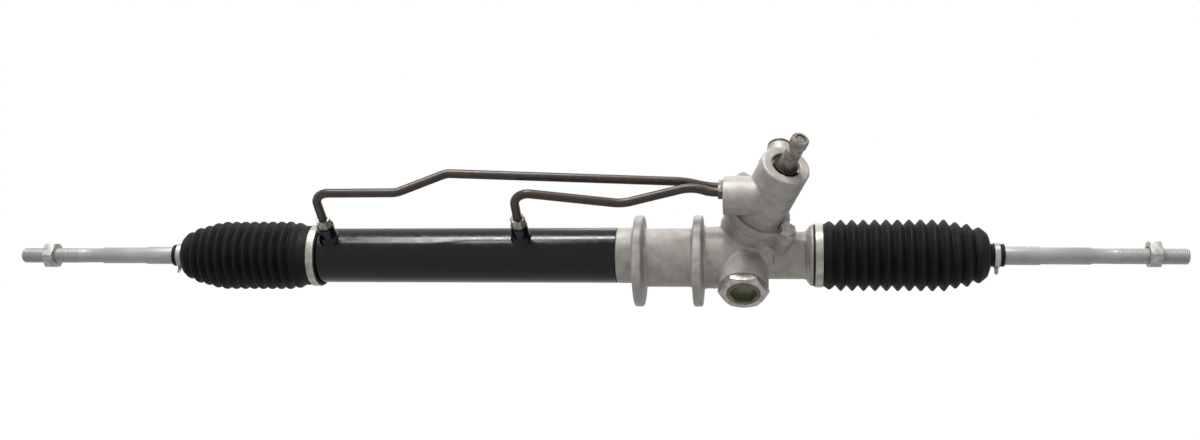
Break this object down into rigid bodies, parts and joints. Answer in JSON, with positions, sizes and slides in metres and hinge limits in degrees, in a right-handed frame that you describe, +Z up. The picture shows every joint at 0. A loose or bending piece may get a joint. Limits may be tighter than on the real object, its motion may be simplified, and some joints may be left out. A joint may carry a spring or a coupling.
{
  "type": "steering rack",
  "caption": "Hydraulic rack and pinion steering gear with cylinder tube, valve tower, transfer pipes, bellows boots and threaded tie rods.",
  "frame": {"origin": "rack axis, midway between the two bush flanges of the gear housing", "axes": "+X along the rack towards the valve tower end, -Y to the side that the valve tower leans to, +Z up"},
  "size_m": [1.0645, 0.1518, 0.148],
  "materials": {
    "cast_aluminium": "as cast, fine grain",
    "black_paint": "gloss black paint",
    "pipe_steel": "dark brown coated steel",
    "zinc_steel": "zinc plated",
    "olive_zinc": "olive zinc plated",
    "lock_nut_zinc": "zinc plated, a little worn",
    "shaft_steel": "turned steel, oiled",
    "machined_steel": "ground steel",
    "yoke_aluminium": "machined",
    "bronze": "sintered bronze",
    "boot_rubber": "matt black rubber",
    "seal_rubber": "black rubber",
    "seal_plastic": "natural plastic",
    "cap_plastic": "brown plastic"
  },
  "bodies": {
    "housing": {"rack_housing": "cast_aluminium", "cylinder_tube": "black_paint", "left_port_boss": "black_paint", "right_port_boss": "black_paint", "flare_nuts": "zinc_steel", "long_transfer_pipe": "pipe_steel", "short_transfer_pipe": "pipe_steel", "end_stopper": "machined_steel", "outer_rack_bushing": "bronze", "outer_rack_seal": "seal_rubber", "inner_rack_bushing": "bronze", "inner_rack_seal": "seal_rubber", "spacer_tube": "machined_steel", "left_boot": "boot_rubber", "right_boot": "boot_rubber", "left_boot_band": "zinc_steel", "right_boot_band": "zinc_steel", "rack_yoke": "yoke_aluminium", "yoke_liner": "bronze", "yoke_oring": "seal_rubber", "yoke_spring": "machined_steel", "adjuster_plug": "olive_zinc", "adjuster_lock_nut": "lock_nut_zinc", "pinion_bearing_outer_ring": "machined_steel", "pinion_bearing_balls": "machined_steel", "pinion_end_cap": "machined_steel", "pinion_needle_bearing": "machined_steel", "pinion_oil_seal": "seal_rubber", "valve_housing": "cast_aluminium", "valve_housing_oring": "seal_rubber", "valve_housing_bolts": "zinc_steel", "input_shaft_bearing": "machined_steel", "input_shaft_seal": "seal_rubber", "seal_snap_ring": "machined_steel", "pressure_port_cap": "cap_plastic", "return_port_cap": "cap_plastic"},
    "rack": {"rack_bar": "machined_steel", "piston": "machined_steel", "piston_ring": "seal_plastic", "piston_retaining_rings": "machined_steel", "left_inner_socket": "machined_steel", "right_inner_socket": "machined_steel", "left_lock_washer": "machined_steel", "right_lock_washer": "machined_steel"},
    "pinion": {"pinion": "machined_steel", "valve_sleeve": "machined_steel", "sleeve_seal_rings": "seal_plastic", "pinion_bearing_inner_ring": "machined_steel", "pinion_lock_nut": "machined_steel"},
    "input_shaft": {"input_shaft": "shaft_steel", "torsion_bar": "machined_steel", "torsion_bar_pin": "machined_steel"},
    "left_seat": {"left_ball_seat": "seal_plastic"},
    "left_rod": {"left_tie_rod": "zinc_steel", "left_jam_nut": "zinc_steel", "left_boot_clip": "zinc_steel"},
    "right_seat": {"right_ball_seat": "seal_plastic"},
    "right_rod": {"right_tie_rod": "zinc_steel", "right_jam_nut": "zinc_steel", "right_boot_clip": "zinc_steel"}
  },
  "joints": [
    {"name": "rack_slide", "type": "slide", "parent": "housing", "child": "rack", "axis": [1, 0, 0], "range_m": [-0.078, 0.062], "deforming": ["left_boot", "right_boot"]},
    {"name": "pinion_turn", "type": "hinge", "parent": "housing", "child": "pinion", "pos_m": [0.0669, 0.01048, 0.01249], "axis": [0.3502, -0.7175, 0.6021], "range_deg": [-608.2, 483.5]},
    {"name": "input_twist", "type": "hinge", "parent": "pinion", "child": "input_shaft", "pos_m": [0.0669, 0.01048, 0.01249], "axis": [0.3502, -0.7175, 0.6021], "range_deg": [-4, 4], "stiffness_Nm_per_rad": 100},
    {"name": "left_rod_yaw", "type": "hinge", "parent": "rack", "child": "left_seat", "pos_m": [-0.416, 0, 0], "axis": [0, 0, 1], "range_deg": [-15, 15]},
    {"name": "left_rod_pitch", "type": "hinge", "parent": "left_seat", "child": "left_rod", "pos_m": [-0.416, 0, 0], "axis": [0, 1, 0], "range_deg": [-15, 15]},
    {"name": "right_rod_yaw", "type": "hinge", "parent": "rack", "child": "right_seat", "pos_m": [0.2445, 0, 0], "axis": [0, 0, 1], "range_deg": [-15, 15]},
    {"name": "right_rod_pitch", "type": "hinge", "parent": "right_seat", "child": "right_rod", "pos_m": [0.2445, 0, 0], "axis": [0, 1, 0], "range_deg": [-15, 15]}
  ],
  "couplings": [
    {"joint": "pinion_turn", "follows": "rack_slide", "rad_per_m": 136.05}
  ]
}
